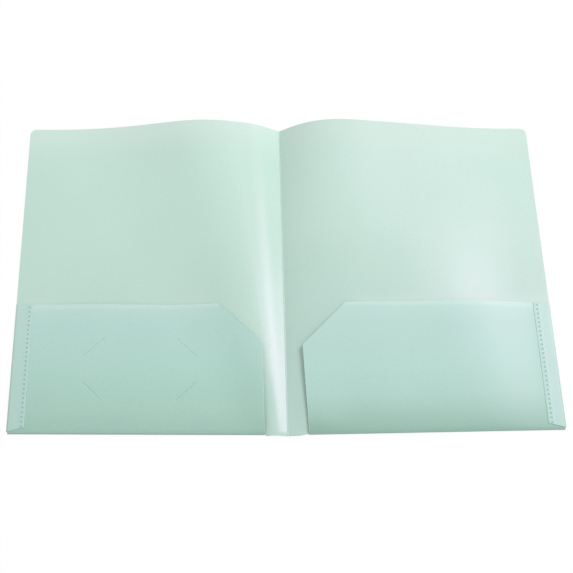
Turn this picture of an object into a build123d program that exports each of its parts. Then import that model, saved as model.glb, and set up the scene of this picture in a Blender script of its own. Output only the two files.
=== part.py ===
from build123d import *
import math
import os

# A two pocket folder, one die-cut polypropylene sheet, lying open with its inside up.
# X runs across both covers, Y from the bottom folds to the top edges, Z up from the table.

# Sheet and covers
sheet = 0.5  # thickness of the polypropylene
cover_width = 241.3  # spine crease to outer edge
cover_height = 304.8  # along the spine crease
corner_radius = 6.0  # outer top corners
splay = 0.68  # degrees each cover is turned in plan, because its bowed top draws the spine in

# Spine crease
crease_radius = 0.5  # round bead of the living hinge, on the axis that the covers turn about
crease_clearance = 0.05  # between the bead and each cover

# Bow of each cover beside the spine, as it is at the top edge
front_crest_reach = 70.0  # spine to the highest line
front_crest_rise = 20.0
front_flat_edge = 17.7  # strip along the outer edge that lies flat
front_fall_share = 0.87  # how steep the fall is, from 0.5 for a straight run to 1 for two arcs
front_low_share = 0.1  # how far out the run ends at the bottom edge, as a share of the top edge
back_crest_reach = 56.5
back_crest_rise = 22.5
back_flat_edge = 5.7
back_fall_share = 0.67
back_low_share = 0.87
low_bow_share = 0.06  # what is left of the bow at the bottom edge
arch_strips = 14  # narrow strips that the crest is made of
fall_strips = 4  # and the straight fall
foot_strips = 6  # and the run out on the table

# Pockets, folded up from the bottom edges
pocket_height = 121.0
fold_gap = 0.8  # between cover and pocket at the bottom fold
front_pocket_low = 19.7  # spine to the pocket's inner edge, at the fold
front_pocket_high = 21.7  # and at its sloped corner
front_mouth_reach = 70.0  # flap to where the mouth has opened
front_mouth_angle = 6.3  # degrees, the steepest rise on the way
front_lip_slope = 2.2  # degrees, the rise that goes on from there to the spine
back_pocket_low = 18.2
back_pocket_high = 15.8
back_mouth_reach = 60.0
back_mouth_angle = 15.5
back_lip_slope = 1.0
pocket_slope = 40.0  # width and height of the sloped inner corner
slope_radius = 3.0  # rounds both ends of the slope

# Side flaps, folded in over the pockets and welded to them
flap_width = 15.0
flap_low = 4.6  # bottom of the flap at its free edge
flap_fold_low = 2.2  # and at its fold
weld_inset = 2.8  # free edge to the row of weld marks
weld_width = 2.2
weld_length = 1.7
weld_sink = 0.2  # how far each mark is pressed in
weld_pitch = 4.28
weld_low = 6.6  # first mark
weld_margin = 3.0  # last mark to the pocket's top edge, at least

# Slits in the front pocket that hold the corners of a business card
slit_length = 24.0
slit_width = 0.8
slit_centre = 129.3  # spine to the middle of the card
slit_level = 60.0  # bottom edge to the middle of the card
slit_spread = 41.0  # middle of the card to each slit, across
slit_lift = 20.5  # and up or down
slit_angle = 45.0

overrun = 3.0  # how far cutters and trimmed stock stand past the work

# Worked out from the above
turn = math.radians(splay)
cover_run = cover_height * math.cos(turn)
fold_radius = sheet + fold_gap / 2
pocket_level = sheet + fold_gap
flap_level = pocket_level + sheet
side_radius = (flap_level + sheet) / 2
folded_edge = cover_width - side_radius
flap_edge = cover_width - flap_width
crease_edge = crease_radius + crease_clearance
clear_height = 2 * max(front_crest_rise, back_crest_rise)
weld_count = int((pocket_height - weld_margin - weld_low) / weld_pitch) + 1
weld_middle = weld_low + (weld_count - 1) * weld_pitch / 2

# The origin is on the table, under the middle of the open folder
near_y = min(front_pocket_low, back_pocket_low) * math.sin(turn)
far_y = (cover_width - corner_radius) * math.sin(turn) + corner_radius
far_y += (cover_run - corner_radius) * math.cos(turn)
spine_foot = (0, -(near_y + far_y) / 2, 0)

# Plan of one side: its x runs out from the spine, its y up from the bottom edge
plan = Plane(spine_foot, x_dir=(math.cos(turn), math.sin(turn), 0), z_dir=(0, 0, 1))


def across_plane(distance):
    """Upright plane across a side, at a distance from its bottom edge."""
    foot = plan.from_local_coords(Vector(0, distance, 0))
    return Plane(foot, x_dir=plan.x_dir, z_dir=-plan.y_dir)


def along_plane(reach):
    """Upright plane along a side, at a reach from the spine, with the plan's y as its x."""
    foot = plan.from_local_coords(Vector(reach, 0, 0))
    return Plane(foot, x_dir=plan.y_dir, z_dir=plan.x_dir)


def trim_plane(place, kept_side):
    """Upright plane through a place on the plan, facing the side that is kept."""
    return Plane(plan.from_local_coords(Vector(*place)), x_dir=plan.z_dir, z_dir=kept_side)


def arc_strips(place, heading, radius, angle, count):
    """An arc of a section as short arcs, one after the other."""
    runs = []
    for _ in range(count):
        run = JernArc(place, heading, radius, angle / count, mode=Mode.PRIVATE)
        place = run @ 1
        heading = run % 1
        runs.append(run)
    return runs


def line_strips(stops):
    """Straight runs of a section from stop to stop."""
    return [Line(*ends, mode=Mode.PRIVATE) for ends in zip(stops, stops[1:])]


def sheet_section(under, over):
    """The cut face of a sheet between the lines of its lower and upper side."""
    first_end = Line(under[0] @ 0, over[0] @ 0, mode=Mode.PRIVATE)
    last_end = Line(under[-1] @ 1, over[-1] @ 1, mode=Mode.PRIVATE)
    return Face(Wire.combine([*under, last_end, *over, first_end])[0])


def make_cover(crest_reach, crest_rise, flat_edge, fall_share, low_share):
    """A sheet that arches up beside the crease at the top edge and dies out flat at the bottom edge."""
    bow_reach = cover_width - flat_edge - cover_run * math.tan(turn)
    climb = 2 * math.atan(crest_rise / crest_reach)
    fall = 2 * math.atan(crest_rise / (bow_reach - crest_reach)) * fall_share
    crest_radius = crest_reach / math.sin(climb)
    landing = crest_reach + crest_radius * math.tan(fall / 2) + crest_rise / math.tan(fall)
    foot_radius = (bow_reach - landing) / math.tan(fall / 2)
    fall_end = Vector(bow_reach - foot_radius * math.sin(fall), foot_radius * (1 - math.cos(fall)))
    arch = -math.degrees(climb + fall)
    heading = (math.cos(climb), math.sin(climb))
    thickness = Vector(-math.sin(climb), math.cos(climb)) * sheet
    low_crease = Vector(fold_radius * math.tan(turn), 0)
    high_crease = Vector(cover_run * math.tan(turn), 0)
    low_start = low_crease.X + bow_reach * low_bow_share
    low_foot = low_crease.X + bow_reach * low_share
    low_lines = []
    high_lines = []
    for lift in (0, sheet):
        shift = thickness * (lift / sheet)
        crest = arc_strips(high_crease + shift, heading, crest_radius + lift, arch, arch_strips)
        top = crest[-1] @ 1
        down = high_crease + fall_end + Vector(math.sin(fall), math.cos(fall)) * lift - top
        straight = line_strips([top + down * (k / fall_strips) for k in range(fall_strips + 1)])
        foot = arc_strips(top + down, down, foot_radius - lift, math.degrees(fall), foot_strips)
        high_lines.append(crest + straight + foot)
        reaches = [(run @ 1).X for run in straight + foot]
        spread = (low_foot - low_start) / (reaches[-1] - reaches[0])
        crest = arc_strips(
            low_crease + shift, heading, crest_radius * low_bow_share + lift, arch, arch_strips
        )
        stops = [(low_start + (x - reaches[0]) * spread, lift) for x in reaches]
        low_lines.append(crest + line_strips([crest[-1] @ 1, *stops]))
    sections = [
        across_plane(fold_radius) * sheet_section(*low_lines),
        across_plane(cover_run) * sheet_section(*high_lines),
    ]
    feet = ((low_foot, fold_radius), (high_crease.X + bow_reach, cover_run))
    with BuildPart() as cover:
        loft(sections, ruled=True, clean=False)
        with BuildSketch(plan):
            with BuildLine():
                Polyline(*feet, (cover_width, cover_run), (cover_width, fold_radius), close=True)
            make_face()
        extrude(amount=sheet)
        split(bisect_by=Plane.YZ.offset(crease_edge), keep=Keep.TOP)
        with BuildSketch(plan):
            with Locations((cover_width - corner_radius, cover_run - corner_radius)):
                waste = corner_radius + overrun
                Rectangle(waste, waste, align=(Align.MIN, Align.MIN))
                Circle(corner_radius, mode=Mode.SUBTRACT)
            with Locations((folded_edge, pocket_height)):
                Rectangle(flap_width, pocket_height, align=(Align.MIN, Align.MAX))
        extrude(amount=clear_height, mode=Mode.SUBTRACT)
    return cover


def make_pocket(inner_low, inner_high, mouth, slits):
    """A panel that is flat under its flap, opens at its mouth and rises on towards the spine."""
    mouth_reach, mouth_angle, lip_slope = mouth
    lip = math.radians(lip_slope)
    mouth_radius = mouth_reach / (2 * math.sin(math.radians(mouth_angle)) - math.sin(lip))
    turning = flap_edge - mouth_radius * math.sin(math.radians(mouth_angle))
    opened = flap_edge - mouth_reach
    reach = min(inner_low, inner_high) - overrun
    slope_foot = pocket_height - pocket_slope
    lean = (inner_high - inner_low) / (slope_foot - fold_radius)
    inner_edge = trim_plane((inner_low, fold_radius), plan.x_dir - plan.y_dir * lean)
    slope = trim_plane((inner_high, slope_foot), plan.x_dir - plan.y_dir)
    flat_lines = []
    mouth_lines = []
    for level, lift in ((pocket_level, 0), (flap_level, sheet)):
        stops = [(x, level) for x in (flap_edge, turning, opened, reach)]
        flat_lines.append([Line(*ends, mode=Mode.PRIVATE) for ends in zip(stops, stops[1:])])
        rise = JernArc(stops[0], (-1, 0), mouth_radius - lift, -mouth_angle, mode=Mode.PRIVATE)
        crest = JernArc(rise @ 1, rise % 1, mouth_radius + lift, mouth_angle - lip_slope, mode=Mode.PRIVATE)
        lip_end = crest @ 1 + crest % 1 * ((opened - reach) / math.cos(lip))
        mouth_lines.append([rise, crest, Line(crest @ 1, lip_end, mode=Mode.PRIVATE)])
    sections = [
        across_plane(fold_radius) * sheet_section(*flat_lines),
        across_plane(pocket_height) * sheet_section(*mouth_lines),
    ]
    with BuildPart() as pocket:
        loft(sections, ruled=True, clean=False)
        split(bisect_by=inner_edge, keep=Keep.TOP)
        split(bisect_by=slope, keep=Keep.TOP)
        slope_face = pocket.faces().filter_by(slope)[0]
        fillet(slope_face.edges().sort_by(SortBy.LENGTH)[:2], slope_radius)
        with BuildSketch(across_plane(fold_radius)):
            with Locations((flap_edge, pocket_level)):
                Rectangle(folded_edge - flap_edge, sheet, align=(Align.MIN, Align.MIN))
        extrude(amount=fold_radius - pocket_height)
        if slits:
            with BuildSketch(plan):
                for across in (-1, 1):
                    for up in (-1, 1):
                        with Locations((slit_centre + across * slit_spread, slit_level + up * slit_lift)):
                            Rectangle(slit_length, slit_width, rotation=-slit_angle * across * up)
            extrude(amount=clear_height, mode=Mode.SUBTRACT)
    return pocket


def make_bottom_fold(inner_low):
    """The half round along the bottom edge, from the cover up into the pocket."""
    with BuildPart() as fold:
        with BuildSketch(along_plane(inner_low)):
            with Locations((fold_radius, fold_radius)):
                Circle(fold_radius)
                Circle(fold_gap / 2, mode=Mode.SUBTRACT)
                Rectangle(
                    fold_radius, fold_radius * 2, align=(Align.MIN, Align.CENTER), mode=Mode.SUBTRACT
                )
        extrude(amount=folded_edge - inner_low)
    return fold


def make_side_fold():
    """The half round along the outer edge, from the cover up into the side flap."""
    with BuildPart() as fold:
        with BuildSketch(across_plane(flap_fold_low)):
            with Locations((folded_edge, side_radius)):
                Circle(side_radius)
                Circle(side_radius - sheet, mode=Mode.SUBTRACT)
                Rectangle(
                    side_radius, side_radius * 2, align=(Align.MAX, Align.CENTER), mode=Mode.SUBTRACT
                )
        extrude(amount=flap_fold_low - pocket_height)
    return fold


def make_side_flap():
    """The strip that lies on the pocket, with an opening for each weld mark."""
    with BuildPart() as flap:
        with BuildSketch(plan.offset(flap_level)):
            with BuildLine():
                Polyline(
                    (flap_edge, flap_low),
                    (folded_edge, flap_fold_low),
                    (folded_edge, pocket_height),
                    (flap_edge, pocket_height),
                    close=True,
                )
            make_face()
            with Locations((flap_edge + weld_inset, weld_middle)):
                with GridLocations(weld_pitch, weld_pitch, 1, weld_count):
                    Rectangle(weld_width, weld_length, mode=Mode.SUBTRACT)
        extrude(amount=sheet)
    return flap


def make_weld_marks():
    """The pressed-in marks that join flap and pocket, a little below the flap's face."""
    with BuildPart() as marks:
        with BuildSketch(plan.offset(flap_level)):
            with Locations((flap_edge + weld_inset, weld_middle)):
                with GridLocations(weld_pitch, weld_pitch, 1, weld_count):
                    Rectangle(weld_width, weld_length)
        extrude(amount=sheet - weld_sink)
    return marks


def make_side(bow, inner_low, inner_high, mouth, slits):
    """All the pieces of one side, lying to the right of the spine."""
    return {
        "cover": make_cover(*bow),
        "pocket": make_pocket(inner_low, inner_high, mouth, slits),
        "bottom_fold": make_bottom_fold(inner_low),
        "side_fold": make_side_fold(),
        "side_flap": make_side_flap(),
        "weld_marks": make_weld_marks(),
    }


back_side = make_side(
    (back_crest_reach, back_crest_rise, back_flat_edge, back_fall_share, back_low_share),
    back_pocket_low,
    back_pocket_high,
    (back_mouth_reach, back_mouth_angle, back_lip_slope),
    slits=False,
)
front_side = make_side(
    (front_crest_reach, front_crest_rise, front_flat_edge, front_fall_share, front_low_share),
    front_pocket_low,
    front_pocket_high,
    (front_mouth_reach, front_mouth_angle, front_lip_slope),
    slits=True,
)

# The front cover lies to the left of the spine
for piece in front_side.values():
    with piece:
        mirror(about=Plane.YZ, mode=Mode.REPLACE)

# Spine crease
with BuildPart() as spine_crease:
    with BuildSketch(Plane.XZ.offset(-spine_foot[1] - fold_radius)):
        with Locations((0, crease_radius)):
            Circle(crease_radius)
    extrude(amount=fold_radius - cover_height)

os.makedirs("parts", exist_ok=True)
for side_name, side in (("back", back_side), ("front", front_side)):
    for piece_name, piece in side.items():
        node = f"{side_name}_{piece_name}"
        piece.part.label = node
        export_step(piece.part, f"parts/{node}.step")
spine_crease.part.label = "spine_crease"
export_step(spine_crease.part, "parts/spine_crease.step")
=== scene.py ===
import bmesh
import bpy
import math
from mathutils import Matrix, Vector


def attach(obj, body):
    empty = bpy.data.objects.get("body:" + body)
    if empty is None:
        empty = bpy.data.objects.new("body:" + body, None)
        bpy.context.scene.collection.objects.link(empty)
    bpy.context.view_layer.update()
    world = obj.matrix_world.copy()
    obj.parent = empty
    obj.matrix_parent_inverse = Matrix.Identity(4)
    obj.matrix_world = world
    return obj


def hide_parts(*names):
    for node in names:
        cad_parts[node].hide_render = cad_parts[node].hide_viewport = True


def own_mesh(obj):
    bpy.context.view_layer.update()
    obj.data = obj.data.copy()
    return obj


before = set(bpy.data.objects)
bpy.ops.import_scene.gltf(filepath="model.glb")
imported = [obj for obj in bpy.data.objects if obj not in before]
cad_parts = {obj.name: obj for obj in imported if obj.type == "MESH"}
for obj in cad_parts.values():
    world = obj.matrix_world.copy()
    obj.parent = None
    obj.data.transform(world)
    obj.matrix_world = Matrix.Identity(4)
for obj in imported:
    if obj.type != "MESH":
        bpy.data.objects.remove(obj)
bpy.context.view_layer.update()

# Sizes of the folder in millimetres. On each side, reach u runs outward from the spine along the
# bottom edge, and distance v runs up from the bottom edge.
MM = 0.001
SHEET = 0.5
WIDTH = 241.3
HEIGHT = 304.8
CORNER = 6.0  # round of a cover's top corner
TURN = math.radians(0.68)  # turn of each cover in plan
RUN = HEIGHT * math.cos(TURN)
SPINE_Y = -153.883  # foot of the crease in the frame
CREASE_RADIUS = 0.5
CREASE_EDGE = 0.55  # start of a cover beside the bead
TAB = 1.7  # how far the sheet between the pockets reaches past the bottom folds
POCKET = 121.0
SLOPE = 40.0  # sloped inner corner of a pocket, across and up
SLOPE_RADIUS = 3.0
FOLD_GAP = 0.8
FOLD_RADIUS = SHEET + FOLD_GAP / 2
POCKET_LEVEL = SHEET + FOLD_GAP
FLAP_LEVEL = POCKET_LEVEL + SHEET
FLAP_WIDTH = 15.0
FLAP_EDGE = WIDTH - FLAP_WIDTH
FLAP_START = 2.2  # bottom edge to the lower end of the side fold
FLAP_INNER_START = 6.0  # bottom edge to the lower inner corner of the flap
SIDE_RADIUS = (FLAP_LEVEL + SHEET) / 2
FOLDED_EDGE = WIDTH - SIDE_RADIUS
EDGE_ROUND = 0.1  # round of the cut edges
CUT_EDGE = 0.25  # width of the painted highlight along the cut edges

# What sets the two sides apart:
# sign: side of the spine in the frame
# crest, rise: reach and height of the bow's top, at the cover's top edge
# fall: slope of the bow's straight run down to the table
# flat: width of the strip at the outer end of the top edge that lies on the table
# soft: spread of the bow's changes of curve
# narrows: whether the bow narrows evenly going down, or a narrow one gives way to a wide one
# steep: climb from the crease in degrees at the bottom edge, and what it gains up to the top edge
# shoulder: rise beside the crease at the top edge
# foot_share: height of the bow at the bottom edge, of its height at the top edge
# sink: power by which the bow grows going up
# toe: height of the low ridge beside the foot of the crease
# bulge: rise of the cover's middle
# tab_fade: width over which the sheet between the pockets draws back to the bottom fold
# low, high: reach of the pocket's inner edge at the bottom fold and below its sloped corner
# lip, spring: rise of that edge off the cover, and the power by which it grows going up
# mouth, puff: middle, inward and outward widths and rise of the open mouth, and the power of its growth
SIDES = {
    "front": {
        "sign": -1, "crest": 70.0, "rise": 20.6, "fall": math.radians(13.2), "flat": 17.7, "soft": 8.0,
        "narrows": True, "steep": (18.0, 19.0), "shoulder": 1.2, "foot_share": 0.125, "sink": 0.94,
        "toe": 0.0, "bulge": 0.0, "tab_fade": 1.0, "low": 19.7, "high": 21.7,
        "lip": 3.4, "spring": 0.35, "mouth": (165.0, 110.0, 60.0, 2.0), "puff": 2.4,
    },
    "back": {
        "sign": 1, "crest": 51.3, "rise": 22.7, "fall": math.radians(9.3), "flat": 5.7, "soft": 16.0,
        "narrows": False, "foot_share": 0.04, "sink": 1.2,
        "toe": 1.9, "bulge": 2.6, "tab_fade": 8.0, "low": 18.2, "high": 15.8,
        "lip": 4.0, "spring": 0.6, "mouth": (176.0, 76.0, 50.0, 3.4), "puff": 0.5,
    },
}

# Shared helpers

MERGE = 1e-7  # metres between points that are one point
CUT_ANGLE = math.radians(60)  # edges sharper than this are cut edges, which get a round
CRISP_ANGLE = math.radians(40)  # edges sharper than this stay crisp under smooth shading


def steps(start, end, count):
    """Evenly spaced values from a start to an end, both of them included."""
    return [start + (end - start) * i / count for i in range(count + 1)]


def clamp(x):
    """A value held between 0 and 1."""
    return min(max(x, 0), 1)


def ease(x):
    """From 0 to 1 with a soft start and a soft end."""
    x = clamp(x)
    return x * x * (3 - 2 * x)


def swell(x, middle, before, after):
    """A smooth rise and fall between 0 and 1 round a middle."""
    part = (x - middle) / (before if x < middle else after)
    return math.cos(part * math.pi / 2) ** 2 if abs(part) < 1 else 0.0


def place(side, u, v, z):
    """A point of one side, from its reach, its distance up and its height, in the frame."""
    x = u * math.cos(TURN) - v * math.sin(TURN)
    y = u * math.sin(TURN) + v * math.cos(TURN) + SPINE_Y
    return Vector((side["sign"] * x, y, z)) * MM


def make_object(name, points, faces, painted_light=None):
    """A mesh with painted light at each point: 1 for a painted highlight on a cut edge, less in the
    painted band of light above a pocket's mouth, down to -1 for painted shade in a pressed mark.
    """
    mesh = bpy.data.meshes.new(name)
    mesh.from_pydata([tuple(p) for p in points], [], faces)
    if painted_light is not None:
        layer = mesh.attributes.new("painted_light", "FLOAT", "POINT")
        layer.data.foreach_set("value", painted_light)
    obj = bpy.data.objects.new(name, mesh)
    bpy.context.scene.collection.objects.link(obj)
    return obj


def finish_mesh(obj, bevel=0.0):
    """Face normals outward, a small round on the cut edges, smooth shading with crisp corners."""
    work = bmesh.new()
    work.from_mesh(obj.data)
    bmesh.ops.remove_doubles(work, verts=work.verts, dist=MERGE)
    bmesh.ops.dissolve_degenerate(work, edges=work.edges, dist=MERGE)
    bmesh.ops.recalc_face_normals(work, faces=work.faces)
    if bevel:
        sharp = [e for e in work.edges if len(e.link_faces) == 2 and e.calc_face_angle(0) > CUT_ANGLE]
        bmesh.ops.bevel(
            work, geom=sharp, offset=bevel * MM, segments=2, profile=0.5, affect="EDGES",
            clamp_overlap=True,
        )
    for face in work.faces:
        face.smooth = True
    work.to_mesh(obj.data)
    work.free()
    obj.data.set_sharp_from_angle(angle=CRISP_ANGLE)
    obj.data.update()
    return obj


def sheet_object(name, over, under, painted_light):
    """A closed sheet from its upper and lower grids of points."""
    rows = len(over)
    cols = len(over[0])
    points = [p for row in over for p in row] + [p for row in under for p in row]
    values = [x for row in painted_light for x in row] * 2
    half = rows * cols
    faces = []
    for r in range(rows - 1):
        for c in range(cols - 1):
            a = r * cols + c
            quad = (a, a + 1, a + 1 + cols, a + cols)
            faces.append(quad)
            faces.append(tuple(half + i for i in reversed(quad)))
    ring = list(range(cols))
    ring += [r * cols + cols - 1 for r in range(1, rows)]
    ring += [(rows - 1) * cols + c for c in range(cols - 2, -1, -1)]
    ring += [r * cols for r in range(rows - 2, 0, -1)]
    for a, b in zip(ring, ring[1:] + ring[:1]):
        faces.append((b, a, half + a, half + b))
    return make_object(name, points, faces, values)


def tube_faces(base, rings, count):
    """Faces of a closed tube through rings of points, which are numbered from a base."""
    last = base + (rings - 1) * count
    faces = [tuple(base + i for i in reversed(range(count))), tuple(last + i for i in range(count))]
    for near in range(base, last, count):
        far = near + count
        for i in range(count):
            j = (i + 1) % count
            faces.append((near + i, near + j, far + j, far + i))
    return faces


def tube_object(name, rings):
    """A closed tube through rings of points, with no painted highlight."""
    points = [p for ring in rings for p in ring]
    faces = tube_faces(0, len(rings), len(rings[0]))
    return make_object(name, points, faces, [0.0] * len(points))


# Bow of the covers

BOW_STEP = 0.5  # reach from point to point along a bow
BOW_POINTS = 520
SPREAD_STEPS = 6  # steps to one spread, where a bow is softened
SPREAD_REACH = 15  # steps to each side that are taken in
START_FADE = 25.0  # reach over which a softened bow is drawn back to the crease
CLIMB_LIMITS = [0.15 + 0.05 * k for k in range(13)]
CLIMB_EASE = 0.08  # how gently a climb meets its limit
REGAIN = 110.0  # reach past the crest over which a held climb's loss is made good
STEEP_POWER = 1.2  # power by which the climb from the crease grows going up
FOOT_WIDTH_SHARE = 0.2  # width of a bow at the bottom edge, of its width at the top edge
SETTLE_START = 8.5  # reach where the sheet starts to settle on the table, at the crease's foot
SETTLE_RUN = 11.0  # reach over which it settles
SETTLE_TOP = 60.0  # distance up where it no longer settles

# Middle and the widths before and after it
SHOULDER_ACROSS = (24.0, 16.0, 20.0)
TOE_UP = (11.0, 10.0, 45.0)
TOE_ACROSS = (19.0, 14.0, 40.0)
BULGE_UP = (162.0, 160.0, 129.0)
BULGE_ACROSS = (147.0, 104.0, 72.0)


def plain_bow(side, x):
    """Height of a cover's top edge: round over the crest, straight down, then round to the table."""
    reach = WIDTH - side["flat"] - RUN * math.tan(TURN)
    climb = 2 * math.atan(side["rise"] / side["crest"])
    slope = math.tan(side["fall"])
    half = math.tan(side["fall"] / 2)
    crest_radius = side["crest"] / math.sin(climb)
    turn = side["crest"] + crest_radius * math.sin(side["fall"])
    height = side["rise"] - crest_radius * (1 - math.cos(side["fall"]))
    foot = (height + turn * slope - reach * half) / (slope - half)
    foot_radius = (reach - foot) / math.sin(side["fall"])
    if x < 0:
        return x * math.tan(climb)
    if x < turn:
        return math.sqrt(crest_radius**2 - (x - side["crest"])**2) - crest_radius * math.cos(climb)
    if x < foot:
        return height - (x - turn) * slope
    if x < reach:
        return foot_radius - math.sqrt(foot_radius**2 - (reach - x)**2)
    return 0.0


def soft_bow(side, x):
    """The same line as a springy sheet takes it, with no sudden change of curve."""
    total = 0.0
    weights = 0.0
    for k in range(-SPREAD_REACH, SPREAD_REACH + 1):
        weight = math.exp(-(k / SPREAD_STEPS)**2 / 2)
        total += weight * plain_bow(side, x + k * side["soft"] / SPREAD_STEPS)
        weights += weight
    return total / weights


def climb_losses(line, limit):
    """Height that a line loses up to each point where no climb is much steeper than a limit."""
    lost = [0.0]
    for a, b in zip(line, line[1:]):
        over = ((b - a) / BOW_STEP - limit) / CLIMB_EASE
        lost.append(lost[-1] + BOW_STEP * CLIMB_EASE * math.log1p(math.exp(over)))
    return lost


# Each bow drawn back to the crease, and what it loses at each limit of its climb
for side in SIDES.values():
    line = [soft_bow(side, k * BOW_STEP) for k in range(BOW_POINTS)]
    side["line"] = [z - line[0] * math.exp(-k * BOW_STEP / START_FADE) for k, z in enumerate(line)]
    if side["narrows"]:
        side["losses"] = [climb_losses(side["line"], limit) for limit in CLIMB_LIMITS]


def along(line, x):
    """A value along a line of points, nothing past its end."""
    k = min(int(x / BOW_STEP), len(line) - 2)
    part = x / BOW_STEP - k
    if part > 1:
        return 0.0
    return line[k] * (1 - part) + line[k + 1] * part


def gentle_bow(side, x, limit):
    """Height along the soft top edge with its climb from the crease held to a limit."""
    z = along(side["line"], x)
    level = (limit - CLIMB_LIMITS[0]) / (CLIMB_LIMITS[1] - CLIMB_LIMITS[0])
    if level >= len(CLIMB_LIMITS) - 1:
        return z
    k = max(int(level), 0)
    part = max(level - k, 0)
    lost = along(side["losses"][k], x) * (1 - part) + along(side["losses"][k + 1], x) * part
    return z - lost * (1 - ease((x - side["crest"]) / REGAIN))


def narrowing_bow(side, out, up, settle):
    """A bow that narrows evenly towards the bottom edge, with a gentle climb from the crease."""
    across = FOOT_WIDTH_SHARE + (1 - FOOT_WIDTH_SHARE) * up
    first, more = side["steep"]
    climb = math.tan(math.radians(first + more * up**STEEP_POWER))
    foot = side["foot_share"] * (1 - up)
    top = up**side["sink"]
    z = (foot * settle + top) * gentle_bow(side, out / across, climb * across / (foot + top))
    return z + side["shoulder"] * up**2 * swell(out / across, *SHOULDER_ACROSS)


def crossing_bow(side, out, up, settle):
    """A low and narrow bow at the bottom edge that gives way to the full one going up."""
    foot = (1 - up) * side["foot_share"] * settle * along(side["line"], out / FOOT_WIDTH_SHARE)
    return foot + up**side["sink"] * along(side["line"], out)


def cover_height(side, u, v):
    """Height of a cover's lower face: bowed at the top, a small V at the crease's foot."""
    v = max(v, FOLD_RADIUS)
    up = (v - FOLD_RADIUS) / (RUN - FOLD_RADIUS)
    out = max(u - v * math.tan(TURN), 0)
    settle = 1 - clamp((out - SETTLE_START) / SETTLE_RUN)**2 * max(1 - v / SETTLE_TOP, 0)
    bow = narrowing_bow if side["narrows"] else crossing_bow
    z = bow(side, out, up, settle)
    z += side["toe"] * swell(v, *TOE_UP) * swell(out, *TOE_ACROSS)
    return z + side["bulge"] * swell(v, *BULGE_UP) * swell(u, *BULGE_ACROSS)


# Covers

LOWER_ROWS = 44  # rows of the mesh below the pocket's mouth
UPPER_ROWS = 50  # rows from there to the round corner
CORNER_ANGLES = (15, 30, 45, 58, 70, 80, 88, 90)
NEAR = 40.0  # reach of the finer columns by the crease
NEAR_COLUMNS = 44
NEAR_POWER = 1.5  # the larger, the finer the columns right beside the crease
FAR_COLUMNS = 72
STEP_HALF = 0.02  # half the height of the step where a cover's edge leaves the side fold
SLOPE_SPAN = 0.3  # reach to each side over which the slope of the sheet is taken
TAB_CLEARANCE = 0.2  # from the sheet between the pockets to the end of the bottom fold
PAINTED_BAND_HEIGHT = 9.0  # painted band of light on a cover, above the pocket's mouth
PAINTED_BAND_FADE = 14.0  # width over which it starts, past the pocket's sloped corner
# strength of the painted band of light at the mouth
PAINTED_BAND_LIGHT = 0.8


def cover_limit(v):
    """Outer edge of a cover at a distance up, inside the side fold and round the top corner."""
    if v < POCKET:
        return FOLDED_EDGE
    above = v - (RUN - CORNER)
    if above <= 0:
        return WIDTH
    return WIDTH - CORNER + math.sqrt(max(CORNER**2 - above**2, 0))


def tab_reach(side, u):
    """How far the sheet between the pockets reaches past the line of the bottom folds."""
    return TAB * clamp((side["low"] - TAB_CLEARANCE - u) / side["tab_fade"])


def painted_band_light(side, u, v):
    """Painted light on a cover just above the pocket's mouth, for light that comes through the sheet."""
    if v < POCKET:
        return 0.0
    head = side["high"] + SLOPE
    return PAINTED_BAND_LIGHT * max(1 - (v - POCKET) / PAINTED_BAND_HEIGHT, 0) * clamp((u - head) / PAINTED_BAND_FADE)


def make_cover(name, side):
    """A cover as one bowed sheet, from the bottom fold to the top edge."""
    levels = steps(FOLD_RADIUS, POCKET - STEP_HALF, LOWER_ROWS)
    levels += steps(POCKET + STEP_HALF, RUN - CORNER, UPPER_ROWS)
    levels += [RUN - CORNER + CORNER * math.sin(math.radians(a)) for a in CORNER_ANGLES]
    near = [
        CREASE_EDGE + (NEAR - CREASE_EDGE) * (k / NEAR_COLUMNS)**NEAR_POWER for k in range(NEAR_COLUMNS)
    ]
    over = []
    under = []
    painted_light = []
    for v in levels:
        crease = v * math.tan(TURN)
        limit = cover_limit(v)
        line = [crease + out for out in near]
        line += steps(crease + NEAR, limit - CUT_EDGE, FAR_COLUMNS) + [limit]
        lower = []
        upper = []
        for u in line:
            z = cover_height(side, u, v)
            climb = cover_height(side, u + SLOPE_SPAN, v) - cover_height(side, u - SLOPE_SPAN, v)
            slope = climb / (2 * SLOPE_SPAN)
            spot = v - tab_reach(side, u) if v == levels[0] else v
            lower.append(place(side, u, spot, z))
            upper.append(place(side, u, spot, z + SHEET * math.sqrt(1 + slope**2)))
        over.append(upper)
        under.append(lower)
        # painted highlight on the top and outer cut edges, and the painted band of light above the
        # pocket's mouth
        top = 1.0 if v in levels[-2:] else 0.0
        shades = [max(top, painted_band_light(side, u, v)) for u in line[:-1]]
        painted_light.append(shades + [1.0 if v > POCKET else 0.0])
    return sheet_object(name, over, under, painted_light)


# Spine crease

BEAD_POINTS = 24
BEAD_STEPS = 60


def make_crease(name):
    """The round bead of the living hinge, down to the edge of the sheet between the pockets."""
    angles = steps(0, 2 * math.pi, BEAD_POINTS)[:-1]
    section = [(CREASE_RADIUS * math.cos(a), CREASE_RADIUS * (1 + math.sin(a))) for a in angles]
    stations = steps(SPINE_Y + FOLD_RADIUS - TAB, SPINE_Y + HEIGHT, BEAD_STEPS)
    return tube_object(name, [[Vector((x, y, z)) * MM for x, z in section] for y in stations])


# Pockets

ARC_STEPS = 8
INNER_ROWS = 24  # rows of the mesh up the straight inner edge
SLOPE_ROWS = 16  # rows up the sloped corner
OPEN_COLUMNS = 52
COVERED_COLUMNS = 4  # columns under the flap
EDGE_COLUMN = 0.7  # width of the first columns, by the inner edge
LEVEL_WIDTH = 12.0  # width over which a pocket comes down to its level beside the flap
LIP_START = 15.0  # reach where the rise of the inner edge is full
LIP_WIDTH = 50.0  # width over which it fades

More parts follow.
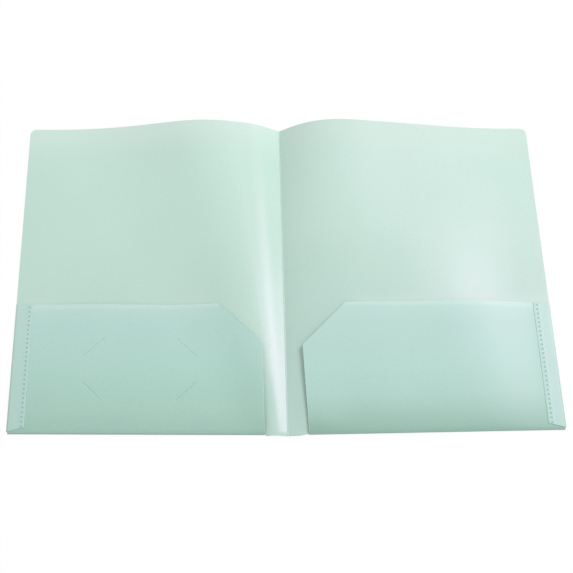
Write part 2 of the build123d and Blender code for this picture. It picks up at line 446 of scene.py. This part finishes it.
SLIT_CENTRE = 129.3  # spine to the middle of the card
SLIT_LEVEL = 60.0  # bottom edge to the middle of the card
SLIT_SPREAD = 41.0  # middle of the card to each slit, across
SLIT_LIFT = 20.5  # and up or down
SLIT_ANGLE = 45.0
SLIT_LENGTH = 24.0
SLIT_WIDTH = 0.1
SLIT_CUT = (0.7, 20.0)  # heights from which and to which the cutter reaches


def round_corner(before, corner, after, radius, count):
    """Points of an arc that rounds a corner of an outline."""
    a = (Vector(before) - Vector(corner)).normalized()
    b = (Vector(after) - Vector(corner)).normalized()
    half = a.angle(b) / 2
    middle = Vector(corner) + (a + b).normalized() * (radius / math.sin(half))
    first = Vector(corner) + a * (radius / math.tan(half)) - middle
    last = Vector(corner) + b * (radius / math.tan(half)) - middle
    swing = first.angle_signed(last)
    points = []
    for angle in steps(0, -swing, count):
        turned = Vector((
            first.x * math.cos(angle) - first.y * math.sin(angle),
            first.x * math.sin(angle) + first.y * math.cos(angle),
        ))
        points.append(middle + turned)
    return points


def pocket_edge(side):
    """Inner edge of a pocket from the bottom fold to its top edge, as reach and distance up."""
    foot = (side["low"], FOLD_RADIUS)
    knee = (side["high"], POCKET - SLOPE)
    head = (side["high"] + SLOPE, POCKET)
    lower = round_corner(foot, knee, head, SLOPE_RADIUS, ARC_STEPS)
    upper = round_corner(knee, head, (head[0] + SLOPE, POCKET), SLOPE_RADIUS, ARC_STEPS)
    line = []
    for v in steps(FOLD_RADIUS, lower[0].y, INNER_ROWS):
        share = (v - FOLD_RADIUS) / (lower[0].y - FOLD_RADIUS)
        line.append((side["low"] + (lower[0].x - side["low"]) * share, v))
    line += [tuple(p) for p in lower[1:]]
    line += [tuple(lower[-1].lerp(upper[0], i / SLOPE_ROWS)) for i in range(1, SLOPE_ROWS)]
    line += [tuple(p) for p in upper]
    return line


def pocket_height(side, u, v):
    """Height of a pocket's lower face: over the cover, open at the mouth and sprung up by the spine."""
    up = (v - FOLD_RADIUS) / (POCKET - FOLD_RADIUS)
    near = max(1 - (u - LIP_START) / LIP_WIDTH, 0)
    middle, inward, outward, rise = side["mouth"]
    lift = side["lip"] * up**side["spring"] * near**2
    lift += rise * up**side["puff"] * swell(u, middle, inward, outward)
    return POCKET_LEVEL + ease((FLAP_EDGE - u) / LEVEL_WIDTH) * (cover_height(side, u, v) + lift)


def make_pocket(name, side):
    """A pocket as one sheet, from its inner edge to the side fold."""
    over = []
    under = []
    painted_light = []
    for inner, v in pocket_edge(side):
        line = [inner, inner + EDGE_COLUMN]
        line += steps(inner + 2 * EDGE_COLUMN, FLAP_EDGE, OPEN_COLUMNS)
        line += steps(FLAP_EDGE, FOLDED_EDGE, COVERED_COLUMNS)[1:]
        heights = [pocket_height(side, u, v) for u in line]
        over.append([place(side, u, v, z + SHEET) for u, z in zip(line, heights)])
        under.append([place(side, u, v, z) for u, z in zip(line, heights)])
        # painted highlight on the inner edge and the top cut edge
        top = 1.0 if POCKET - v < CUT_EDGE else 0.0
        painted_light.append([1.0] + [top] * (len(line) - 1))
    return sheet_object(name, over, under, painted_light)


def slit_outline(across, up):
    """Outline of one slit with round ends, as reach and distance up."""
    middle = Vector((SLIT_CENTRE + across * SLIT_SPREAD, SLIT_LEVEL + up * SLIT_LIFT))
    angle = math.radians(-SLIT_ANGLE * across * up)
    course = Vector((math.cos(angle), math.sin(angle)))
    aside = Vector((-course.y, course.x))
    radius = SLIT_WIDTH / 2
    ring = []
    for end in (1, -1):
        for turn in steps(-90, 90, ARC_STEPS):
            a = math.radians(turn)
            spot = middle + course * end * (SLIT_LENGTH / 2 - radius + radius * math.cos(a))
            ring.append(spot + aside * end * radius * math.sin(a))
    return ring


def cut_slits(obj, side):
    """The four slits for the corners of a business card."""
    points = []
    faces = []
    for across in (-1, 1):
        for up in (-1, 1):
            ring = slit_outline(across, up)
            faces += tube_faces(len(points), len(SLIT_CUT), len(ring))
            for z in SLIT_CUT:
                points += [place(side, p.x, p.y, z) for p in ring]
    cutter = finish_mesh(make_object("slit_cutter", points, faces))
    modifier = obj.modifiers.new("slits", "BOOLEAN")
    modifier.operation = "DIFFERENCE"
    modifier.solver = "EXACT"
    modifier.object = cutter
    bpy.context.view_layer.update()
    cut = bpy.data.meshes.new_from_object(obj.evaluated_get(bpy.context.evaluated_depsgraph_get()))
    obj.modifiers.clear()
    obj.data = cut
    bpy.data.objects.remove(cutter)
    return obj


# Folds

ROUND_STEPS = 16
FOLD_STEPS = 24


def make_fold(name, side, centre, radius, ends, bottom):
    """A half round of sheet, along the bottom edge or along the outer edge."""
    section = []
    for size, first, last in ((radius, 90, 270), (radius - SHEET, 270, 90)):
        for angle in steps(first, last, ROUND_STEPS):
            a = math.radians(angle)
            section.append((size * math.cos(a), size * math.sin(a)))
    rings = []
    for s in steps(*ends, FOLD_STEPS):
        if bottom:
            rings.append([place(side, s, centre + out, radius + high) for out, high in section])
        else:
            rings.append([place(side, centre - out, s, radius + high) for out, high in section])
    return tube_object(name, rings)


# Side flaps with their pressed weld marks

WELD_PITCH = 4.28
WELD_LOW = 6.6  # bottom edge to the lowest mark
WELD_COUNT = 27
WELD_INSET = 2.8  # flap's edge to the middle of the marks
WELD_DEPTH = 0.2
WELD_HALF_WIDTH = 1.1
WELD_HALF_HEIGHT = 0.85
WELD_WALL_SHARE = 0.35  # sloped wall of a mark, of its half size
WELD_RIDGE = 0.13  # height of the ridge round a mark
WELD_RIDGE_SHARE = 0.7  # width of the ridge, of the mark's half size
FLAP_ROWS = 336
FLAP_EDGE_COLUMN = 0.5  # width of the first column, by the flap's inner edge
WELD_BAND = 2.0  # width to each side of the marks' middle that has fine columns
WELD_COLUMNS = 14
OUTER_COLUMNS = 6


def weld_depth(u, v):
    """How far the flap's face is pressed down, less the ridge that is pushed up round each mark."""
    k = round((v - WELD_LOW) / WELD_PITCH)
    k = min(max(k, 0), WELD_COUNT - 1)
    across = abs(u - FLAP_EDGE - WELD_INSET) / WELD_HALF_WIDTH
    up = abs(v - WELD_LOW - k * WELD_PITCH) / WELD_HALF_HEIGHT
    inside = max(across, up)
    if inside < 1:
        return WELD_DEPTH * min((1 - inside) / WELD_WALL_SHARE, 1)
    if inside < 1 + WELD_RIDGE_SHARE:
        return -WELD_RIDGE * math.sin(math.pi * (inside - 1) / WELD_RIDGE_SHARE)
    return 0.0


def make_flap(name, side):
    """A flap with a slanted lower end, and the row of marks pressed into its upper face."""
    fine = (FLAP_EDGE + WELD_INSET - WELD_BAND, FLAP_EDGE + WELD_INSET + WELD_BAND)
    reaches = [FLAP_EDGE, FLAP_EDGE + FLAP_EDGE_COLUMN] + steps(*fine, WELD_COLUMNS)
    reaches += steps(fine[1], FOLDED_EDGE, OUTER_COLUMNS)[1:]
    over = []
    under = []
    painted_light = []
    for k in range(FLAP_ROWS + 1):
        upper = []
        lower = []
        shades = []
        for i, u in enumerate(reaches):
            share = (u - FLAP_EDGE) / (FOLDED_EDGE - FLAP_EDGE)
            start = FLAP_INNER_START + (FLAP_START - FLAP_INNER_START) * share
            v = start + (POCKET - start) * k / FLAP_ROWS
            depth = weld_depth(u, v)
            upper.append(place(side, u, v, FLAP_LEVEL + SHEET - depth))
            lower.append(place(side, u, v, FLAP_LEVEL))
            # painted highlight on the inner edge and the ends, painted shade in the pressed marks
            shades.append(1.0 if i == 0 or k in (0, FLAP_ROWS) else -max(depth, 0) / WELD_DEPTH)
        over.append(upper)
        under.append(lower)
        painted_light.append(shades)
    return sheet_object(name, over, under, painted_light)


# Materials. The colours of the sheet are written as they look on screen, from 0 to 255.

NOISE_RANGE = (0.3, 0.7)  # between these lies most of a noise texture
CLOUD_SCALE = 11.0
CLOUD_SHARE = 0.015  # how far the slow clouds change the colour
SAND_SCALE = 850.0
SAND_DEPTH = 0.0002  # metres
GLOSS_SPREAD = 0.05  # how far the sand changes the roughness
PLASTIC_IOR = 1.49
SHEEN_TINT = (1.0, 0.62, 0.93, 1.0)  # as the shader wants it
# painted shade in the pressed weld marks, darker where they are deeper
PAINTED_WELD_SHADE = (136, 180, 166)
PAINTED_WELD_SHADE_SHARE = 0.7


def new_material(name):
    """A material with its nodes, its links and its shader."""
    material = bpy.data.materials.new(name)
    material.use_nodes = True
    nodes = material.node_tree.nodes
    return material, nodes, material.node_tree.links, nodes["Principled BSDF"]


def linear(r, g, b):
    """A colour as it looks on screen, as the shader wants it."""
    out = []
    for c in (r, g, b):
        c /= 255
        out.append(c / 12.92 if c <= 0.04045 else ((c + 0.055) / 1.055) ** 2.4)
    return (*out, 1.0)


def ramp(nodes, stops):
    """A colour ramp through stops, each a position and a colour."""
    node = nodes.new("ShaderNodeValToRGB")
    elements = node.color_ramp.elements
    while len(elements) < len(stops):
        elements.new(0.5)
    for element, (position, colour) in zip(elements, stops):
        element.position = position
        element.color = linear(*colour)
    return node


def noise(nodes, links, where, scale, detail, roughness):
    """A noise texture in the object's own coordinates."""
    node = nodes.new("ShaderNodeTexNoise")
    node.inputs["Scale"].default_value = scale
    node.inputs["Detail"].default_value = detail
    node.inputs["Roughness"].default_value = roughness
    links.new(where, node.inputs["Vector"])
    return node.outputs["Fac"]


def spread(nodes, links, texture, middle, share):
    """A noise texture brought to the range of a share to each side of a middle."""
    node = nodes.new("ShaderNodeMapRange")
    node.inputs["From Min"].default_value = NOISE_RANGE[0]
    node.inputs["From Max"].default_value = NOISE_RANGE[1]
    node.inputs["To Min"].default_value = middle - share
    node.inputs["To Max"].default_value = middle + share
    links.new(texture, node.inputs["Value"])
    return node.outputs[0]


def join(nodes, links, operation, first, second, held=False):
    """A math node on two outputs, or on an output and a number. It can be held between 0 and 1."""
    node = nodes.new("ShaderNodeMath")
    node.operation = operation
    node.use_clamp = held
    links.new(first, node.inputs[0])
    if isinstance(second, float):
        node.inputs[1].default_value = second
    else:
        links.new(second, node.inputs[1])
    return node.outputs[0]


def lay_over(nodes, links, share, under, colour):
    """A plain colour laid over another by a share."""
    node = nodes.new("ShaderNodeMix")
    node.data_type = "RGBA"
    links.new(share, node.inputs["Factor"])
    links.new(under, node.inputs["A"])
    node.inputs["B"].default_value = linear(*colour)
    return node.outputs["Result"]


def sheet_material(name, stops, painted_highlight_colour, painted_highlight_share, grain, roughness, speckle_share):
    """Satin polypropylene: colour and painted light by distance up the sheet, a fine sand finish, painted
    highlights on cut edges and painted shade in pressed marks.
    """
    material, nodes, links, shader = new_material(name)
    where = nodes.new("ShaderNodeTexCoord").outputs["Object"]
    axes = nodes.new("ShaderNodeSeparateXYZ")
    links.new(where, axes.inputs[0])
    span = nodes.new("ShaderNodeMapRange")
    span.inputs["From Min"].default_value = SPINE_Y * MM
    span.inputs["From Max"].default_value = (SPINE_Y + HEIGHT) * MM
    links.new(axes.outputs["Y"], span.inputs["Value"])
    tint = ramp(nodes, stops)
    links.new(span.outputs[0], tint.inputs[0])

    cloud = noise(nodes, links, where, CLOUD_SCALE, detail=3.0, roughness=0.5)
    sand = noise(nodes, links, where, SAND_SCALE, detail=2.0, roughness=0.6)
    cloudy = spread(nodes, links, cloud, 1.0, CLOUD_SHARE)
    speckle = spread(nodes, links, sand, 1.0, speckle_share)
    mottled = nodes.new("ShaderNodeVectorMath")
    mottled.operation = "SCALE"
    links.new(tint.outputs["Color"], mottled.inputs[0])
    links.new(join(nodes, links, "MULTIPLY", cloudy, speckle), mottled.inputs["Scale"])

    # painted light: highlights on cut edges and above the pocket's mouth, shade in pressed marks
    edge = nodes.new("ShaderNodeAttribute")
    edge.attribute_name = "painted_light"
    painted_highlight = join(nodes, links, "MULTIPLY", edge.outputs["Fac"], painted_highlight_share, held=True)
    with_painted_highlight = lay_over(nodes, links, painted_highlight, mottled.outputs["Vector"], painted_highlight_colour)
    # painted shade in the pressed weld marks
    painted_weld_shade = join(nodes, links, "MULTIPLY", edge.outputs["Fac"], -PAINTED_WELD_SHADE_SHARE, held=True)
    marked = lay_over(nodes, links, painted_weld_shade, with_painted_highlight, PAINTED_WELD_SHADE)
    links.new(marked, shader.inputs["Base Color"])

    links.new(spread(nodes, links, sand, roughness, GLOSS_SPREAD), shader.inputs["Roughness"])
    shader.inputs["IOR"].default_value = PLASTIC_IOR
    shader.inputs["Specular Tint"].default_value = SHEEN_TINT
    bump = nodes.new("ShaderNodeBump")
    bump.inputs["Strength"].default_value = grain
    bump.inputs["Distance"].default_value = SAND_DEPTH
    links.new(sand, bump.inputs["Height"])
    links.new(bump.outputs["Normal"], shader.inputs["Normal"])
    return material


# Tints by distance up, from 0 at the bottom edge to 1 at the top edge
# Covers: the mint is the sheet's own colour; the changes up each cover and between the two, lighter
# towards the top edge, are painted light and shade
COVER_TINTS_AND_PAINTED_LIGHT = {
    "front": (
        (0.0, (192, 222, 210)), (0.4, (193, 224, 211)), (0.7, (197, 228, 214)), (0.9, (200, 230, 217)),
        (1.0, (210, 235, 224)),
    ),
    "back": (
        (0.0, (187, 218, 206)), (0.32, (185, 216, 204)), (0.5, (190, 220, 208)), (0.65, (196, 225, 213)),
        (0.88, (198, 226, 215)), (1.0, (202, 228, 216)),
    ),
}
# Pockets: darker towards the bottom fold, painted shade where a pocket curves down to the fold; the last
# stops paint a highlight just under the mouth's edge
POCKET_TINTS_AND_PAINTED_LIGHT = {
    "front": (
        (0.0, (154, 194, 179)), (0.02, (162, 201, 186)), (0.08, (171, 210, 195)), (0.2, (178, 217, 204)),
        (0.345, (184, 221, 211)), (0.385, (189, 224, 214)), (0.394, (198, 229, 220)),
    ),
    "back": (
        (0.0, (144, 185, 169)), (0.04, (155, 196, 180)), (0.08, (166, 205, 191)), (0.12, (174, 212, 199)),
        (0.2, (179, 217, 205)), (0.345, (183, 218, 208)), (0.385, (187, 221, 211)),
        (0.394, (195, 227, 217)),
    ),
}
FLAP_TINTS = ((0.0, (179, 214, 203)), (0.1, (184, 218, 208)), (0.39, (188, 222, 212)))
FOLD_TINTS = ((0.0, (150, 186, 172)), (0.4, (178, 209, 199)))
SIDE_TINTS = ((0.0, (166, 201, 189)), (0.4, (188, 219, 209)))
CREASE_TINTS = ((0.0, (200, 226, 216)), (1.0, (205, 231, 220)))

# Colours of the painted highlights along the cut edges
COVER_PAINTED_HIGHLIGHT = (212, 233, 224)
POCKET_PAINTED_HIGHLIGHT = (212, 234, 225)
FOLD_PAINTED_HIGHLIGHT = (206, 230, 221)
COVER_FINISH = {"grain": 0.04, "roughness": 0.30, "speckle_share": 0.008}
POCKET_FINISH = {"grain": 0.25, "roughness": 0.42, "speckle_share": 0.03}
FOLD_FINISH = {"grain": 0.1, "roughness": 0.30, "speckle_share": 0.02}

cover_layers = {
    body: sheet_material(f"{body}_single_layer", stops, COVER_PAINTED_HIGHLIGHT, painted_highlight_share=0.5, **COVER_FINISH)
    for body, stops in COVER_TINTS_AND_PAINTED_LIGHT.items()
}
pocket_layers = {
    body: sheet_material(f"{body}_double_layer", stops, POCKET_PAINTED_HIGHLIGHT, painted_highlight_share=0.5, **POCKET_FINISH)
    for body, stops in POCKET_TINTS_AND_PAINTED_LIGHT.items()
}
flap_layer = sheet_material("flap_layer", FLAP_TINTS, FOLD_PAINTED_HIGHLIGHT, painted_highlight_share=0.5, **POCKET_FINISH)
fold_layer = sheet_material("fold_layer", FOLD_TINTS, FOLD_PAINTED_HIGHLIGHT, painted_highlight_share=0.3, **FOLD_FINISH)
side_layer = sheet_material("side_layer", SIDE_TINTS, FOLD_PAINTED_HIGHLIGHT, painted_highlight_share=0.3, **FOLD_FINISH)
crease_layer = sheet_material("crease_layer", CREASE_TINTS, FOLD_PAINTED_HIGHLIGHT, painted_highlight_share=0.0, **COVER_FINISH)

# Pieces on their bodies

for body, side in SIDES.items():
    cover = make_cover(f"{body}_cover_sheet", side)
    finish_mesh(cover, EDGE_ROUND)
    cover.data.materials.append(cover_layers[body])
    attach(cover, body)
    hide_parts(f"{body}_cover")
    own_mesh(cover)

    pocket = make_pocket(f"{body}_pocket_sheet", side)
    if body == "front":
        finish_mesh(pocket)
        cut_slits(pocket, side)
    finish_mesh(pocket, EDGE_ROUND)
    pocket.data.materials.clear()
    pocket.data.materials.append(pocket_layers[body])
    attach(pocket, body)
    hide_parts(f"{body}_pocket")
    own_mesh(pocket)

    flap = make_flap(f"{body}_flap_sheet", side)
    finish_mesh(flap, EDGE_ROUND)
    flap.data.materials.append(flap_layer)
    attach(flap, body)
    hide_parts(f"{body}_side_flap", f"{body}_weld_marks")

    ends = (side["low"], FOLDED_EDGE)
    fold = make_fold(f"{body}_bottom_fold_sheet", side, FOLD_RADIUS, FOLD_RADIUS, ends, True)
    finish_mesh(fold)
    fold.data.materials.append(fold_layer)
    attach(fold, body)
    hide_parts(f"{body}_bottom_fold")

    ends = (FLAP_START, POCKET)
    edge = make_fold(f"{body}_side_fold_sheet", side, FOLDED_EDGE, SIDE_RADIUS, ends, False)
    finish_mesh(edge)
    edge.data.materials.append(side_layer)
    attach(edge, body)
    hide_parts(f"{body}_side_fold")

crease = make_crease("crease_bead")
finish_mesh(crease)
crease.data.materials.append(crease_layer)
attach(crease, "back")
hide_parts("spine_crease")

# Floor

FLOOR_HALF = 4.0  # metres
FLOOR_LEVEL = -0.0002  # metres, just under the folder
FLOOR_WHITE = (0.86, 0.86, 0.86, 1.0)
FLOOR_ROUGHNESS = 0.9
GLOW_SHARE = 0.9  # the larger, the fainter are the shadows on the floor
GLOW_STRENGTH = 1.02
WHITE = (1, 1, 1, 1)


def floor_material(name):
    """Matt white for the light, and mostly an even glow for what looks at the floor."""
    material, nodes, links, shader = new_material(name)
    shader.inputs["Base Color"].default_value = FLOOR_WHITE
    shader.inputs["Roughness"].default_value = FLOOR_ROUGHNESS
    rays = nodes.new("ShaderNodeLightPath").outputs
    seen = join(nodes, links, "MAXIMUM", rays["Is Camera Ray"], rays["Is Glossy Ray"])
    seen = join(nodes, links, "MAXIMUM", seen, rays["Is Transmission Ray"])
    glow = nodes.new("ShaderNodeEmission")
    glow.inputs["Color"].default_value = WHITE
    glow.inputs["Strength"].default_value = GLOW_STRENGTH
    blend = nodes.new("ShaderNodeMixShader")
    links.new(join(nodes, links, "MULTIPLY", seen, GLOW_SHARE), blend.inputs[0])
    links.new(shader.outputs[0], blend.inputs[1])
    links.new(glow.outputs[0], blend.inputs[2])
    links.new(blend.outputs[0], nodes["Material Output"].inputs["Surface"])
    return material


corners = [
    (x * FLOOR_HALF, y * FLOOR_HALF, FLOOR_LEVEL) for x, y in ((-1, -1), (1, -1), (1, 1), (-1, 1))
]
floor = make_object("floor", corners, [(0, 1, 2, 3)])
floor.data.materials.append(floor_material("floor_white"))

# Light

ROOM_STRENGTH = 0.72
BACKDROP_STRENGTH = 1.0


def light_room(name):
    """Even white light from all round, in front of a pure white backdrop."""
    world = bpy.data.worlds.new(name)
    bpy.context.scene.world = world
    world.use_nodes = True
    nodes = world.node_tree.nodes
    links = world.node_tree.links
    soft = nodes["Background"]
    soft.inputs["Color"].default_value = WHITE
    soft.inputs["Strength"].default_value = ROOM_STRENGTH
    backdrop = nodes.new("ShaderNodeBackground")
    backdrop.inputs["Color"].default_value = WHITE
    backdrop.inputs["Strength"].default_value = BACKDROP_STRENGTH
    rays = nodes.new("ShaderNodeLightPath").outputs
    pick = nodes.new("ShaderNodeMixShader")
    links.new(rays["Is Camera Ray"], pick.inputs[0])
    links.new(soft.outputs[0], pick.inputs[1])
    links.new(backdrop.outputs[0], pick.inputs[2])
    links.new(pick.outputs[0], nodes["World Output"].inputs["Surface"])


def softbox(name, azimuth, elevation, distance, size, power):
    """A soft lamp that looks at the folder, in degrees, metres and watts.

    Azimuth runs from the back towards the right. The size is a width and a height.
    """
    lamp = bpy.data.lights.new(name, "AREA")
    lamp.shape = "RECTANGLE"
    lamp.size, lamp.size_y = size
    lamp.energy = power
    obj = bpy.data.objects.new(name, lamp)
    a = math.radians(azimuth)
    e = math.radians(elevation)
    where = Vector((math.sin(a) * math.cos(e), math.cos(a) * math.cos(e), math.sin(e))) * distance
    obj.location = where
    obj.rotation_euler = where.to_track_quat("Z", "Y").to_euler()
    bpy.context.scene.collection.objects.link(obj)


light_room("studio")
softbox("key", azimuth=61, elevation=54.5, distance=1.6, size=(0.16, 0.44), power=5.8)
softbox("low", azimuth=65, elevation=42, distance=1.7, size=(0.38, 0.38), power=4.1)

# Camera, as fitted to the corners of the folder in the photo

PHOTO_SIZE = 573.0  # pixels
FOCAL_LENGTH = 1266.0  # pixels
AXIS_X = 252.94  # pixels, where the camera's axis meets the photo
AXIS_Y = 289.56
SENSOR = 36.0  # millimetres
CLIP_START = 0.01  # metres
CAMERA_DISTANCE = 1.145  # metres from the target
CAMERA_TARGET = (-27.9, -15.6, 0.0)  # millimetres
CAMERA_AZIMUTH = math.radians(-3.49)
CAMERA_ELEVATION = math.radians(65.20)
CAMERA_ROLL = math.radians(2.87)


def make_camera(name):
    """The camera of the photo, placed by its right, up and back directions and its spot."""
    back = Vector((
        math.sin(CAMERA_AZIMUTH) * math.cos(CAMERA_ELEVATION),
        -math.cos(CAMERA_AZIMUTH) * math.cos(CAMERA_ELEVATION),
        math.sin(CAMERA_ELEVATION),
    ))
    right = (-back).cross(Vector((0, 0, 1))).normalized()
    up = right.cross(-back)
    turned_right = right * math.cos(CAMERA_ROLL) + up * math.sin(CAMERA_ROLL)
    turned_up = up * math.cos(CAMERA_ROLL) - right * math.sin(CAMERA_ROLL)
    spot = Vector(CAMERA_TARGET) * MM + back * CAMERA_DISTANCE
    axes = (turned_right, turned_up, back, spot)
    lens = bpy.data.cameras.new(name)
    lens.sensor_width = SENSOR
    lens.sensor_fit = "HORIZONTAL"
    lens.lens = SENSOR * FOCAL_LENGTH / PHOTO_SIZE
    lens.shift_x = (PHOTO_SIZE / 2 - AXIS_X) / PHOTO_SIZE
    lens.shift_y = (AXIS_Y - PHOTO_SIZE / 2) / PHOTO_SIZE
    lens.clip_start = CLIP_START
    camera = bpy.data.objects.new(name, lens)
    camera.matrix_world = Matrix([[axis[i] for axis in axes] for i in range(3)] + [[0, 0, 0, 1]])
    return camera


scene = bpy.context.scene
scene.view_settings.view_transform = "Standard"
scene.camera = make_camera("camera")
scene.collection.objects.link(scene.camera)
